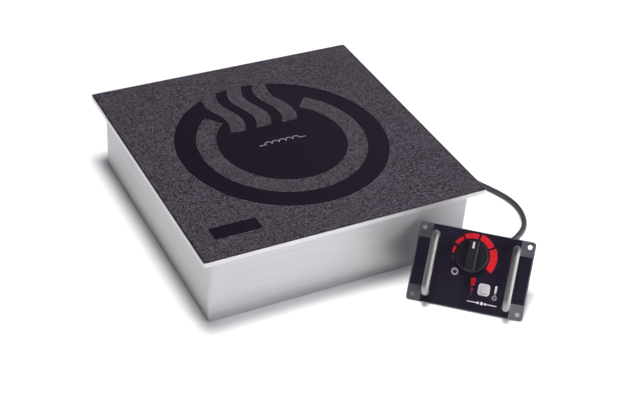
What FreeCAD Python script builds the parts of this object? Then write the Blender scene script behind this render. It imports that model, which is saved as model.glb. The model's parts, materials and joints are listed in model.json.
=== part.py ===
import FreeCAD, Part
import os
from math import cos, degrees, floor, pi, radians, sin, sqrt, tan

# Drop-in induction hob with a tethered control box. Millimetres.
# X runs right along the front edge, Y towards the back, Z up.
# The origin is the centre of the unit's underside.

V = FreeCAD.Vector
X_AXIS = V(1, 0, 0)
Y_AXIS = V(0, 1, 0)
Z_AXIS = V(0, 0, 1)

# ---- clearances and fits ----
face_gap = 0.2          # between stacked flat parts that must not rub
slip_gap = 0.3          # round a part that drops into another
thread_gap = 0.05       # radial, screw shank in its hole
running_gap = 0.05      # radial, turning shaft in its bore
hole_gap = 0.25         # radial, screw through a clearance hole
screw_end_gap = 1.0     # past a screw's tip in a blind hole
below = 1.0             # how far a fused shape is sunk into its neighbour

# ---- the unit, outside ----
top_width = 360.0       # square trim frame and glass
unit_height = 99.4
overhang = 13.5         # frame beyond the casing wall
sheet_t = 1.2           # stainless casing and base
ledge_t = 1.0           # frame shelf under the glass
lip_t = 1.2             # frame edge round the glass
frame_rebate = 0.3      # the casing's top sits this far up into the frame
rebate_gap = 0.1
frame_corner_r = 3.0
casing_corner_r = 4.0
glass_t = 4.0
glass_side_gap = 0.5
seal_t = 0.7
seal_w = 14.0
seal_inset = 1.0        # from the glass edge
top_flange_w = 15.0
base_flange_w = 14.0
base_rim_rise = 1.8     # the base plate's rim stands up to hide the screw heads
base_rim_w = 16.0

# ---- fasteners ----
m4_r = 2.0
m4_head_r = 3.8
m4_head_h = 1.5
m4_nut_af = 7.0
m4_nut_h = 3.2
m3_r = 1.5
m3_head_r = 2.75
m3_head_h = 2.0
stud_len = 7.0
screw_len = 6.0

# ---- coil stack, from the glass down ----
blanket_t = 3.0
mica_t = 0.5
wire_h = 4.0
wire_w = 4.0
turn_pitch = 4.6
coil_inner_r = 28.0
coil_margin = 45.0      # from the casing's top opening to the winding
carrier_floor_t = 2.0
carrier_rim_w = 3.0
carrier_rim_gap = 4.0
carrier_hub_r = 22.0
carrier_hub_w = 4.0
ferrite_w = 14.0
ferrite_h = 5.0
ferrite_count = 8
coil_plate_t = 2.0
coil_plate_margin = 20.0
standoff_r = 4.0
standoff_inset = 7.0
lead_r = 2.0
sensor_r = 7.0
sensor_head_h = 4.0
sensor_stem_r = 3.0
sensor_clear_r = 9.0
sensor_cup_r = 12.0
sensor_cup_h = 9.0
sensor_cup_floor = 2.0
sensor_travel = 2.0     # left under the stem
spring_wire_r = 0.4
spring_coil_r = 4.6
spring_turns = 5

# ---- electronics in the bottom ----
board_t = 1.6
board_lift = 4.8
spacer_r = 3.0
spacer_edge = 1.0       # from the spacer to the board's edge
board_clear = 2.0       # from a board's edge to a standoff
power_board_y0 = -8.0
power_board_d = 118.0
package_h = 4.4
package_w = 16.0
package_d = 21.0
package_count = 4
package_gap = 4.0
package_inset = 16.0    # first package's centre from the heatsink's side
package_row = 0.33      # of the heatsink's depth
rectifier_w = 30.0
rectifier_d = 20.0
rectifier_row = 0.75    # of the heatsink's depth
sink_w = 92.0
sink_d = 108.0
sink_base_t = 5.0
sink_h = 38.0
fin_t = 1.6
fin_count = 14
cap_w = 42.0
cap_d = 20.0
cap_h = 32.0
cap_corner_r = 1.5
cap_gap = 4.0
cap_side = 4.0          # from the power board's right edge
cap_front = 16.0        # from its front edge
filter_cap_side = 10.0
filter_cap_front = 9.0
bulk_cap_w = 57.0
bulk_cap_d = 30.0
bulk_cap_h = 42.0
bulk_cap_corner_r = 2.0
bulk_cap_gap = 4.0      # from the air duct
bulk_cap_back = 6.0
choke_r = 20.0
choke_hole_r = 10.0
choke_h = 17.0
choke_edge = 4.0        # from the board's back edge
toroid_round = 2.0
filter_board_d = 80.0
filter_gap = 10.0
filter_choke_r = 17.0
filter_choke_hole_r = 9.0
filter_choke_h = 20.0
filter_choke_edge = 6.0
terminal_w = 30.0
terminal_d = 60.0
terminal_h = 22.0
terminal_gap = 4.0
terminal_setback = 20.0   # from the power board's back edge
terminal_ways = 3
wire_entry_z = 5.0
wire_entry_h = 8.0
clamp_hole_z = 10.0
clamp_hole_r = 4.0

# ---- fan and duct ----
fan_w = 92.0
fan_h = 25.4
fan_bore_r = 44.0
fan_hole_pitch = 82.5
fan_y_gap = 8.0         # from the fan to the power board
fan_hub_r = 19.0
fan_hub_wall = 2.0
fan_tip_gap = 1.0
fan_blades = 7
fan_blade_t = 1.5
fan_blade_pitch = 40.0  # degrees
fan_stator_h = 3.0
fan_spoke_w = 4.0
fan_shaft_r = 1.5
fan_boss_r = 4.0
fan_boss_h = 12.0
fan_corner_r = 4.0
fan_bore_floor = 1.0    # under the shaft's bore
fan_rotor_lift = 1.0    # rotor above the stator
fan_rotor_top_gap = 1.5
fan_shaft_lift = 1.5
duct_t = 1.5
duct_gap = 0.5
duct_skirt = 4.0
vent_slot_w = 3.5
vent_slot_pitch = 8.0
vent_margin = 4.0
exhaust_count = 18
exhaust_slot_h = 38.0
exhaust_z0 = 14.0
exhaust_pitch = 8.0
exhaust_x0 = -84.0

# ---- display under the front left of the glass ----
display_dx = 56.5       # from the frame's left edge to the display's centre
display_dy = 43.7       # from the frame's front edge
display_w = 52.0
display_d = 17.0
display_h = 6.0
display_board_w = 54.0
display_board_d = 26.0
bracket_w = 30.0
bracket_foot = 14.0
bracket_setback = 2.0    # from the display board's front edge

# ---- cable entries on the rear wall ----
mains_inset = 55.0      # from the casing's inner wall to the mains gland
mains_z = 34.0
mains_bore_r = 4.5
mains_thread_r = 10.0
mains_flange_r = 13.0
mains_flange_t = 5.0
mains_neck_r = 9.0
mains_neck_len = 10.0
mains_cap_len = 14.0
mains_cap_wall = 2.4
mains_cap_hole_r = 5.5
mains_nut_af = 26.0
mains_nut_t = 5.0
mains_tail = 9.0
control_gland_x = -110.0
control_gland_z = 16.0
control_gland_r = 6.0
control_flange_r = 9.0
control_flange_t = 2.5
control_nut_af = 17.0
control_nut_t = 4.0
control_thread_end = 2.0
gland_relief_root_r = 6.2
gland_relief_tip_r = 4.3
gland_relief_len = 22.0

# ---- control cable ----
cable_r = 3.25
arc_share = 0.45        # of the shorter neighbouring run
cable_route = [
    V(-110.0, 191.0, 16.0),
    V(-110.0, 213.0, 16.0),
    V(-106.0, 236.0, 9.5),
    V(-88.0, 252.5, 3.4),
    V(-56.0, 260.0, 3.3),
    V(-2.0, 252.0, 3.3),
    V(58.0, 257.0, 3.3),
    V(116.0, 250.0, 3.3),
    V(166.0, 236.0, 3.3),
    V(202.0, 203.0, 3.3),
    V(213.0, 150.0, 3.3),
    V(208.0, 92.0, 3.3),
    V(215.0, 36.0, 3.3),
    V(238.0, -12.0, 3.3),
    V(264.0, -56.0, 3.3),
    V(285.0, -110.0, 3.3),
    V(278.0, -153.0, 3.3),
    V(247.0, -173.0, 3.3),
    V(218.0, -195.0, 3.3),
    V(192.018, -212.658, 3.351),
    V(178.838, -228.199, 20.449),
]

# ---- control box: a plate that leans back on its own housing ----
tilt = radians(40.0)    # from upright
yaw = radians(-40.3)    # of the plate's lower edge, about Z
box_inset = 107.0       # plate's lower left corner from the casing's right wall
box_wall_gap = 5.65     # plate's upper left corner from the casing's front wall
plate_w = 136.0
plate_h = 92.3
plate_t = 2.0
plate_corner_r = 4.0
plate_hole_inset = 6.5
plate_hole_r = 2.75
overlay_t = 0.3
overlay_margin = 1.6
overlay_block_w = 103.0
overlay_side_h = 55.8
knob_x = 66.1
knob_y = 62.9
bar_x = 21.0            # guard bar's centre from the plate's edge
bar_r = 4.3
bar_len = 77.0
bar_rise = 24.0
bar_bend_r = 9.0
bar_bore_depth = 8.3
housing_w = 80.0
housing_h = 68.0
housing_depth = 17.5
housing_wall = 2.2
housing_corner_r = 4.0
gasket_t = 1.0
gasket_w = 3.0
boss_inset = 6.0
boss_r = 4.0
bush_r = 3.0
bush_len = 8.0

# ---- encoder and knob ----
encoder_w = 16.0
encoder_depth = 12.0
bushing_wall = 0.5
bushing_len = 6.0
encoder_nut_wall = 1.5
encoder_nut_t = 2.0
shaft_r = 3.0
shaft_len = 15.0
shaft_depth = 8.9       # of the shaft's inner end below the plate's face
knob_r = 19.0
knob_lift = 1.0
skirt_h = 5.5
grip_w = 12.0
grip_h = 13.0
grip_top_round = 1.5
knob_hollow_r = 9.0
knob_hollow_h = 3.5
knob_neck_gap = 0.7     # round the encoder's bushing
pointer_w = 2.4
pointer_len = 7.5
pointer_t = 0.8
pointer_sink = 0.5
pointer_inset = 1.6

# ---- mode button ----
button_x = 86.9
button_y = 27.3
bezel_w = 13.8
bezel_corner_r = 3.6
bezel_lip_t = 1.0
bezel_wall = 0.95
bezel_body_w = 11.0
bezel_depth = 3.5
bezel_window_r = 2.0
button_corner_r = 1.85
button_round = 0.6
button_gap = 0.15
button_proud = 2.1
button_flange_t = 1.45
button_travel = 1.2
switch_w = 6.0
switch_plunger_r = 1.75
switch_plunger_h = 1.7
switch_over_gap = 0.1
control_board_w = 58.0
control_board_h = 56.0

# ---- strain relief on the control housing ----
relief_x = 98.0
relief_y = 59.0
relief_hole_r = 5.0
relief_flange_r = 8.0
relief_flange_t = 2.0
relief_lip_r = 7.0
relief_lip_t = 1.5
box_relief_root_r = 5.8
box_relief_tip_r = 4.2
relief_len = 18.0

# ---- derived places ----
top_half = top_width / 2
body_half = top_half - overhang
inner_half = body_half - sheet_t
opening_half = inner_half - top_flange_w
glass_z = unit_height - glass_t
ledge_z = glass_z - seal_t
frame_z = ledge_z - ledge_t
casing_top = frame_z + frame_rebate
flange_z = casing_top - sheet_t
base_rim_z = base_rim_rise
base_rim_top = base_rim_z + sheet_t
fastener_line = inner_half - top_flange_w / 2
base_fastener_line = inner_half - base_flange_w / 2

blanket_z = glass_z - face_gap - blanket_t
mica_z = blanket_z - mica_t
wire_z = mica_z - wire_h
carrier_z = wire_z - carrier_floor_t
ferrite_z = carrier_z - ferrite_h
coil_plate_z = ferrite_z - coil_plate_t
coil_outer_r = opening_half - coil_margin
carrier_r = coil_outer_r + carrier_rim_gap + carrier_rim_w
blanket_r = carrier_r + carrier_rim_w
coil_plate_half = coil_outer_r + coil_plate_margin
standoff_at = coil_plate_half - standoff_inset
half_turns = 2 * floor((coil_outer_r - coil_inner_r - wire_w) / turn_pitch)
first_turn_r = coil_inner_r + wire_w / 2
last_turn_r = first_turn_r + half_turns * turn_pitch / 2

board_half = standoff_at - standoff_r - board_clear
board_z = sheet_t + board_lift
board_top = board_z + board_t
sink_x = -board_half + sink_w / 2
sink_z = board_top + package_h
sink_y0 = power_board_y0 + 2.0
sink_top = sink_z + sink_h
fan_x = sink_x
fan_y = power_board_y0 - fan_y_gap - fan_w / 2
fan_z = sheet_t
fan_top = fan_z + fan_h
filter_x0 = fan_x + fan_w / 2 + filter_gap
filter_y0 = fan_y - fan_w / 2
display_x = -top_half + display_dx
display_y = -top_half + display_dy
display_z = glass_z - face_gap - display_h
display_board_z = display_z - board_t
mains_x = inner_half - mains_inset
box_x = body_half - box_inset
box_y = -body_half - box_wall_gap - plate_h * sin(tilt) * cos(yaw)
box_origin = V(box_x, box_y, plate_t * sin(tilt))
housing_x = (plate_w - housing_w) / 2
housing_back = -plate_t - gasket_t - housing_depth
housing_y = (-housing_back - plate_t) * tan(tilt)
board_face = -plate_t - encoder_depth
leg_low = (plate_h - bar_len) / 2 + bar_r
leg_high = (plate_h + bar_len) / 2 - bar_r
cap_w_button = bezel_body_w - 2 * bezel_wall - 2 * button_gap
button_flange_top = -bezel_depth - running_gap
bushing_r = shaft_r + bushing_wall
encoder_nut_af = 2 * (bushing_r + encoder_nut_wall)
knob_neck_r = bushing_r + knob_neck_gap


def box(x0, y0, z0, x1, y1, z1):
    return Part.makeBox(x1 - x0, y1 - y0, z1 - z0, V(x0, y0, z0))


def square(half, z0, z1, cx=0.0, cy=0.0):
    return box(cx - half, cy - half, z0, cx + half, cy + half, z1)


def block(cx, cy, z0, width, depth, height):
    half_w = width / 2
    half_d = depth / 2
    return box(cx - half_w, cy - half_d, z0, cx + half_w, cy + half_d, z0 + height)


def rounded(shape, radius):
    upright = [e for e in shape.Edges if abs(e.tangentAt(e.FirstParameter).z) > 0.99]
    return shape.makeFillet(radius, upright)


def rod(x, y, z0, radius, height):
    return Part.makeCylinder(radius, height, V(x, y, z0), Z_AXIS)


def ring(x, y, z0, outer_r, inner_r, height):
    return rod(x, y, z0, outer_r, height).cut(rod(x, y, z0, inner_r, height))


def hexagon(x, y, z0, across_flats, height):
    radius = across_flats / sqrt(3)
    corners = [V(x + radius * cos(k * pi / 3), y + radius * sin(k * pi / 3), z0) for k in range(7)]
    return Part.Face(Part.makePolygon(corners)).extrude(V(0, 0, height))


def along_y(shape, y):
    """Turn a shape made about +Z so that it points along +Y from the given y."""
    turned = shape.copy()
    turned.rotate(V(0, 0, 0), X_AXIS, -90)
    turned.translate(V(0, y, 0))
    return turned


def four_corners(at):
    return [(sx * at, sy * at) for sx in (-1, 1) for sy in (-1, 1)]


def eight_places(at):
    return [(x, y) for x in (-at, 0, at) for y in (-at, 0, at) if (x, y) != (0, 0)]


def group(shapes):
    solids = [solid for shape in shapes for solid in shape.Solids]
    return Part.makeCompound(solids)


def screw(x, y, z_head, head_r, head_h, shank_r, length, up=True):
    """Head seated at z_head, shank going up (or down) from it."""
    if up:
        head = rod(x, y, z_head - head_h, head_r, head_h)
        return head.fuse(rod(x, y, z_head, shank_r, length))
    head = rod(x, y, z_head, head_r, head_h)
    return head.fuse(rod(x, y, z_head - length, shank_r, length))


# ---- casing, frame and glass ----

def glass_top():
    half = top_half - lip_t - glass_side_gap
    return rounded(square(half, glass_z, unit_height), frame_corner_r - lip_t)


def glass_seal():
    half = top_half - lip_t - glass_side_gap - seal_inset
    return square(half, ledge_z, glass_z).cut(square(half - seal_w, ledge_z, glass_z))


def top_frame():
    frame = rounded(square(top_half, frame_z, unit_height), frame_corner_r)
    recess = rounded(square(top_half - lip_t, ledge_z, unit_height), frame_corner_r - lip_t)
    rebate = rounded(square(body_half + rebate_gap, frame_z, casing_top), casing_corner_r + rebate_gap)
    frame = frame.cut(recess).cut(rebate).cut(square(opening_half, frame_z, ledge_z))
    for x, y in eight_places(fastener_line):
        frame = frame.fuse(rod(x, y, casing_top - stud_len, m4_r - thread_gap, stud_len))
    return frame


def frame_nuts():
    nuts = []
    for x, y in eight_places(fastener_line):
        nut = hexagon(x, y, flange_z - m4_nut_h, m4_nut_af, m4_nut_h)
        nuts.append(nut.cut(rod(x, y, flange_z - m4_nut_h, m4_r, m4_nut_h)))
    return group(nuts)


def casing_walls():
    walls = rounded(square(body_half, 0, casing_top), casing_corner_r)
    inside = rounded(square(inner_half, base_rim_top + sheet_t, flange_z), casing_corner_r - sheet_t)
    walls = walls.cut(inside)
    walls = walls.cut(square(opening_half, flange_z, casing_top))
    walls = walls.cut(square(inner_half - base_flange_w, 0, base_rim_top + sheet_t))
    walls = walls.cut(rounded(square(inner_half, 0, base_rim_top), casing_corner_r - sheet_t))
    for x, y in eight_places(fastener_line):
        walls = walls.cut(rod(x, y, flange_z, m4_r + hole_gap, sheet_t))
    for x, y in eight_places(base_fastener_line):
        walls = walls.cut(rod(x, y, base_rim_top, m4_r, sheet_t))
    for k in range(exhaust_count):
        x = exhaust_x0 + k * exhaust_pitch
        slot = box(x, inner_half, exhaust_z0, x + vent_slot_w, body_half, exhaust_z0 + exhaust_slot_h)
        walls = walls.cut(slot)
    mains_hole = along_y(rod(mains_x, -mains_z, 0, mains_thread_r + hole_gap, sheet_t), inner_half)
    control_hole = rod(control_gland_x, -control_gland_z, 0, control_gland_r + hole_gap, sheet_t)
    control_hole = along_y(control_hole, inner_half)
    return walls.cut(mains_hole).cut(control_hole)


def base_plate():
    tray_half = inner_half - base_rim_w
    rim = rounded(square(inner_half - slip_gap, base_rim_z, base_rim_top), casing_corner_r - sheet_t)
    plate = rim.fuse(square(tray_half, 0, base_rim_top))
    plate = plate.cut(square(tray_half - sheet_t, sheet_t, base_rim_top))
    for x, y in eight_places(base_fastener_line):
        plate = plate.cut(rod(x, y, base_rim_z, m4_r + hole_gap, sheet_t))
    reach = fan_bore_r - vent_margin
    slot_x = -reach + vent_slot_pitch / 2
    while slot_x < reach:
        half_len = sqrt(reach ** 2 - slot_x ** 2) - vent_slot_w / 2
        slot = block(fan_x + slot_x, fan_y, 0, vent_slot_w, 2 * half_len, sheet_t)
        plate = plate.cut(slot)
        slot_x += vent_slot_pitch
    for sx, sy in four_corners(fan_hole_pitch / 2):
        plate = plate.cut(rod(fan_x + sx, fan_y + sy, 0, m4_r, sheet_t))
    return plate


def base_screws():
    shank = m4_r - thread_gap
    head_h = base_rim_rise - slip_gap
    places = eight_places(base_fastener_line)
    return group([screw(x, y, base_rim_z, m4_head_r, head_h, shank, screw_len) for x, y in places])


# ---- coil stack ----

def insulation_blanket():
    return ring(0, 0, blanket_z, blanket_r, sensor_clear_r, blanket_t)


def mica_sheet():
    return ring(0, 0, mica_z, carrier_r, sensor_clear_r, mica_t)


def half_circle(centre_x, radius, upper, z):
    side = 1 if upper else -1
    start = V(centre_x + side * radius, 0, z)
    middle = V(centre_x, side * radius, z)
    end = V(centre_x - side * radius, 0, z)
    return Part.Arc(start, middle, end).toShape()


def spiral_side(offset, z):
    """Half circles whose centres alternate, so that they join into one spiral."""
    edges = []
    for k in range(half_turns):
        upper = k % 2 == 0
        centre_x = 0 if upper else turn_pitch / 2
        radius = first_turn_r + k * turn_pitch / 2 + offset
        edges.append(half_circle(centre_x, radius, upper, z))
    return edges


def coil_winding():
    outer = spiral_side(wire_w / 2, wire_z)
    inner = spiral_side(-wire_w / 2, wire_z)
    start = Part.makeLine(V(first_turn_r - wire_w / 2, 0, wire_z), V(first_turn_r + wire_w / 2, 0, wire_z))
    end = Part.makeLine(V(last_turn_r - wire_w / 2, 0, wire_z), V(last_turn_r + wire_w / 2, 0, wire_z))
    outline = Part.Wire(Part.__sortEdges__(outer + inner + [start, end]))
    return Part.Face(outline).extrude(V(0, 0, wire_h))


def coil_carrier():
    height = mica_z - carrier_z
    dish = ring(0, 0, carrier_z, carrier_r, carrier_hub_r - carrier_hub_w, height)
    trough = ring(0, 0, wire_z, carrier_r - carrier_rim_w, carrier_hub_r, wire_h)
    dish = dish.cut(trough)
    for x, y in lead_places():
        dish = dish.cut(rod(x, y, carrier_z, lead_r + slip_gap, carrier_floor_t))
    return dish


def ferrite_bars():
    bars = []
    length = coil_outer_r - coil_inner_r - ferrite_w
    for k in range(ferrite_count):
        bar = box(coil_inner_r + ferrite_w / 2, -ferrite_w / 2, ferrite_z,
                  coil_inner_r + ferrite_w / 2 + length, ferrite_w / 2, carrier_z)
        bar.rotate(V(0, 0, 0), Z_AXIS, (k + 0.5) * 360 / ferrite_count)
        bars.append(bar)
    return group(bars)


def coil_plate():
    plate = rounded(square(coil_plate_half, coil_plate_z, ferrite_z), standoff_inset)
    for x, y in four_corners(standoff_at):
        plate = plate.cut(rod(x, y, coil_plate_z, m4_r + hole_gap, coil_plate_t))
    for x, y in lead_places():
        plate = plate.cut(rod(x, y, coil_plate_z, lead_r + slip_gap, coil_plate_t))
    return plate


def coil_standoffs():
    posts = []
    for x, y in four_corners(standoff_at):
        post = rod(x, y, sheet_t, standoff_r, coil_plate_z - sheet_t)
        posts.append(post.cut(rod(x, y, coil_plate_z - screw_len, m4_r, screw_len)))
    return group(posts)


def coil_plate_screws():
    shank = m4_r - thread_gap
    length = coil_plate_t + screw_len - screw_end_gap
    places = four_corners(standoff_at)
    return group([screw(x, y, ferrite_z, m4_head_r, m4_head_h, shank, length, up=False) for x, y in places])


def lead_places():
    """Under the two ends of the winding."""
    return [(first_turn_r, lead_r), (last_turn_r, -lead_r)]


def coil_leads():
    return group([rod(x, y, board_top, lead_r, wire_z - board_top) for x, y in lead_places()])


def sensor_holder():
    cup = rod(0, 0, ferrite_z, sensor_cup_r, sensor_cup_h)
    return cup.cut(rod(0, 0, ferrite_z + sensor_cup_floor, sensor_r + slip_gap, sensor_cup_h))


def temperature_sensor():
    head_z = glass_z - sensor_head_h
    stem_z = ferrite_z + sensor_cup_floor + sensor_travel
    return rod(0, 0, head_z, sensor_r, sensor_head_h).fuse(rod(0, 0, stem_z, sensor_stem_r, head_z - stem_z))


def sensor_spring():
    low = ferrite_z + sensor_cup_floor + spring_wire_r + running_gap
    high = glass_z - sensor_head_h - spring_wire_r - running_gap
    path = Part.makeHelix((high - low) / spring_turns, high - low, spring_coil_r)
    section = Part.Wire(Part.makeCircle(spring_wire_r, V(spring_coil_r, 0, 0), Y_AXIS))
    coil = Part.Wire(path.Edges).makePipeShell([section], True, True)
    coil.translate(V(0, 0, low))
    return coil


# ---- electronics ----

def power_board():
    return box(-board_half, power_board_y0, board_z, board_half, power_board_y0 + power_board_d, board_top)


def spacer_places(x0, y0, x1, y1):
    inset = spacer_r + spacer_edge
    return [(x, y) for x in (x0 + inset, x1 - inset) for y in (y0 + inset, y1 - inset)]


def board_spacers():
    posts = []
    power = spacer_places(-board_half, power_board_y0, board_half, power_board_y0 + power_board_d)
    filtering = spacer_places(filter_x0, filter_y0, board_half, filter_y0 + filter_board_d)
    for x, y in power + filtering:
        posts.append(rod(x, y, sheet_t, spacer_r, board_lift))
    half = sink_w / 2
    for x, y in spacer_places(sink_x - half, sink_y0, sink_x + half, sink_y0 + sink_d):
        posts.append(rod(x, y, board_top, spacer_r, package_h))
    return group(posts)


def heatsink():
    half = sink_w / 2
    sink = box(sink_x - half, sink_y0, sink_z, sink_x + half, sink_y0 + sink_d, sink_z + sink_base_t)
    pitch = (sink_w - fin_t) / (fin_count - 1)
    for k in range(fin_count):
        x = sink_x - half + k * pitch
        sink = sink.fuse(box(x, sink_y0, sink_z, x + fin_t, sink_y0 + sink_d, sink_top))
    return sink.removeSplitter()


def igbt_modules():
    packages = []
    for k in range(package_count):
        x = sink_x - sink_w / 2 + package_inset + k * (package_w + package_gap)
        y = sink_y0 + package_row * sink_d
        packages.append(block(x, y, board_top, package_w, package_d, package_h))
    return group(packages)


def bridge_rectifier():
    return block(sink_x, sink_y0 + rectifier_row * sink_d, board_top, rectifier_w, rectifier_d, package_h)


def film_capacitors():
    caps = []
    first_y = power_board_y0 + cap_front + cap_d / 2
    places = [
        (board_half - cap_side, first_y),
        (board_half - cap_side, first_y + cap_d + cap_gap),
        (board_half - filter_cap_side, filter_y0 + filter_cap_front + cap_d / 2),
    ]
    for right, y in places:
        caps.append(rounded(block(right - cap_w / 2, y, board_top, cap_w, cap_d, cap_h), cap_corner_r))
    return group(caps)


def dc_link_capacitor():
    x = sink_x + sink_w / 2 + duct_t + bulk_cap_gap + bulk_cap_d / 2
    y = power_board_y0 + power_board_d - bulk_cap_w / 2 - bulk_cap_back
    return rounded(block(x, y, board_top, bulk_cap_d, bulk_cap_w, bulk_cap_h), bulk_cap_corner_r)


def toroid(x, y, z0, outer_r, hole_r, height):
    core = ring(x, y, z0, outer_r, hole_r, height)
    return core.makeFillet(toroid_round, [e for e in core.Edges if e.Curve.TypeId == "Part::GeomCircle"])


def choke_coil():
    x = board_half - cap_side - cap_w / 2
    y = power_board_y0 + power_board_d - choke_r - choke_edge
    return toroid(x, y, board_top, choke_r, choke_hole_r, choke_h)


def filter_board():
    return box(filter_x0, filter_y0, board_z, board_half, filter_y0 + filter_board_d, board_top)


def common_mode_choke():
    x = (filter_x0 + board_half) / 2
    y = filter_y0 + filter_board_d - filter_choke_r - filter_choke_edge
    return toroid(x, y, board_top, filter_choke_r, filter_choke_hole_r, filter_choke_h)


def terminal_block():
    x0 = board_half + terminal_gap
    y0 = power_board_y0 + power_board_d - terminal_setback - terminal_d
    body = box(x0, y0, sheet_t, x0 + terminal_w, y0 + terminal_d, sheet_t + terminal_h)
    step = terminal_d / terminal_ways
    for k in range(terminal_ways):
        y = y0 + (k + 0.5) * step
        body = body.cut(block(x0 + terminal_w, y, sheet_t + wire_entry_z, terminal_w, step / 2, wire_entry_h))
        body = body.cut(rod(x0 + 0.75 * terminal_w, y, sheet_t + clamp_hole_z, clamp_hole_r, terminal_h))
    return body


# ---- fan and duct ----

def fan_frame():
    frame = rounded(block(fan_x, fan_y, fan_z, fan_w, fan_w, fan_h), fan_corner_r)
    frame = frame.cut(rod(fan_x, fan_y, fan_z, fan_bore_r, fan_h))
    spokes = block(fan_x, fan_y, fan_z, 2 * fan_bore_r + below, fan_spoke_w, fan_stator_h)
    spokes = spokes.fuse(block(fan_x, fan_y, fan_z, fan_spoke_w, 2 * fan_bore_r + below, fan_stator_h))
    frame = frame.fuse(spokes).fuse(rod(fan_x, fan_y, fan_z, fan_hub_r, fan_stator_h))
    frame = frame.fuse(rod(fan_x, fan_y, fan_z, fan_boss_r, fan_boss_h))
    frame = frame.cut(rod(fan_x, fan_y, fan_z + fan_bore_floor, fan_shaft_r + running_gap, fan_boss_h))
    for sx, sy in four_corners(fan_hole_pitch / 2):
        frame = frame.cut(rod(fan_x + sx, fan_y + sy, fan_z, m4_r + hole_gap, fan_h))
    return frame


def fan_rotor():
    cup_z = fan_z + fan_stator_h + fan_rotor_lift
    cup_top = fan_top - fan_rotor_top_gap
    hub = rod(fan_x, fan_y, cup_z, fan_hub_r, cup_top - cup_z)
    hub = hub.cut(rod(fan_x, fan_y, cup_z, fan_hub_r - fan_hub_wall, cup_top - cup_z - fan_hub_wall))
    shaft_z = fan_z + fan_shaft_lift
    rotor = hub.fuse(rod(fan_x, fan_y, shaft_z, fan_shaft_r, cup_top - fan_hub_wall / 2 - shaft_z))
    tip_r = fan_bore_r - fan_tip_gap
    height = cup_top - cup_z
    envelope = ring(fan_x, fan_y, cup_z, tip_r, fan_hub_r - fan_hub_wall / 2, height)
    for k in range(fan_blades):
        blade = box(0, -fan_blade_t / 2, -2 * height, tip_r + below, fan_blade_t / 2, 2 * height)
        blade.rotate(V(0, 0, 0), X_AXIS, fan_blade_pitch)
        blade.rotate(V(0, 0, 0), Z_AXIS, k * 360 / fan_blades)
        blade.translate(V(fan_x, fan_y, cup_z + height / 2))
        rotor = rotor.fuse(blade.common(envelope))
    return rotor


def fan_screws():
    shank = m4_r - thread_gap
    length = fan_top - running_gap
    return group([screw(fan_x + sx, fan_y + sy, fan_top, m4_head_r, m4_head_h, shank, length, up=False)
                  for sx, sy in four_corners(fan_hole_pitch / 2)])


def air_duct():
    outer = fan_w / 2 + duct_gap + duct_t
    inner = fan_w / 2 + duct_gap
    back = sink_y0 + sink_d
    join_y = power_board_y0 - duct_gap
    hood = box(fan_x - outer, fan_y - outer, fan_top - duct_skirt, fan_x + outer, back, sink_top + duct_t)
    cover = box(fan_x - outer, join_y, sink_z, fan_x + outer, back, sink_top + duct_t)
    duct = hood.fuse(cover)
    return duct.cut(box(fan_x - inner, fan_y - inner, 0, fan_x + inner, back, sink_top)).removeSplitter()


# ---- display ----

def display_bracket():
    shelf_z = display_board_z - sheet_t
    front = display_y - display_board_d / 2 + bracket_setback
    left = display_x - bracket_w / 2
    foot = box(left, front, sheet_t, left + bracket_w, front + bracket_foot, 2 * sheet_t)
    upright = box(left, front, sheet_t, left + bracket_w, front + sheet_t, display_board_z)
    back = display_y + display_board_d / 2
    shelf = box(left, front, shelf_z, left + bracket_w, back, display_board_z)
    return foot.fuse(upright).fuse(shelf)


def display_board():
    return block(display_x, display_y, display_board_z, display_board_w, display_board_d, board_t)


def display_module():
    return block(display_x, display_y, display_z, display_w, display_d, display_h)


# ---- cable entries ----

def mains_gland_body():
    tail = sheet_t + mains_tail
    body = rod(mains_x, -mains_z, -tail, mains_thread_r, tail)
    body = body.fuse(hexagon(mains_x, -mains_z, 0, mains_flange_r * sqrt(3), mains_flange_t))
    body = body.fuse(rod(mains_x, -mains_z, mains_flange_t, mains_neck_r, mains_neck_len))
    length = tail + mains_flange_t + mains_neck_len
    body = body.cut(rod(mains_x, -mains_z, -tail, mains_bore_r, length))
    return along_y(body, body_half)


def mains_gland_cap():
    start = mains_flange_t + face_gap
    outer_r = mains_neck_r + thread_gap + mains_cap_wall
    cap = rod(mains_x, -mains_z, start, outer_r, mains_cap_len)
    rim = [e for e in cap.Edges if e.Curve.TypeId == "Part::GeomCircle" and e.CenterOfMass.z > start + below]
    cap = cap.makeFillet(mains_cap_wall, rim)
    cavity = rod(mains_x, -mains_z, start, mains_neck_r + thread_gap, mains_neck_len)
    hole = rod(mains_x, -mains_z, start, mains_cap_hole_r, mains_cap_len)
    return along_y(cap.cut(cavity).cut(hole), body_half)


def gland_nuts():
    mains = hexagon(mains_x, -mains_z, -mains_nut_t, mains_nut_af, mains_nut_t)
    mains = mains.cut(rod(mains_x, -mains_z, -mains_nut_t, mains_thread_r + thread_gap, mains_nut_t))
    small = hexagon(control_gland_x, -control_gland_z, -control_nut_t, control_nut_af, control_nut_t)
    small = small.cut(
        rod(control_gland_x, -control_gland_z, -control_nut_t, control_gland_r + thread_gap, control_nut_t))
    return group([along_y(mains, inner_half), along_y(small, inner_half)])


def control_gland():
    tail = sheet_t + control_nut_t + control_thread_end
    gland = rod(control_gland_x, -control_gland_z, -tail, control_gland_r, tail)
    gland = gland.fuse(rod(control_gland_x, -control_gland_z, 0, control_flange_r, control_flange_t))
    taper = Part.makeCone(gland_relief_root_r, gland_relief_tip_r, gland_relief_len,
                          V(control_gland_x, -control_gland_z, control_flange_t), Z_AXIS)
    return along_y(gland.fuse(taper), body_half)


# ---- control box, in the plate's own frame: x right, y up the plate, z out of it ----

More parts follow.
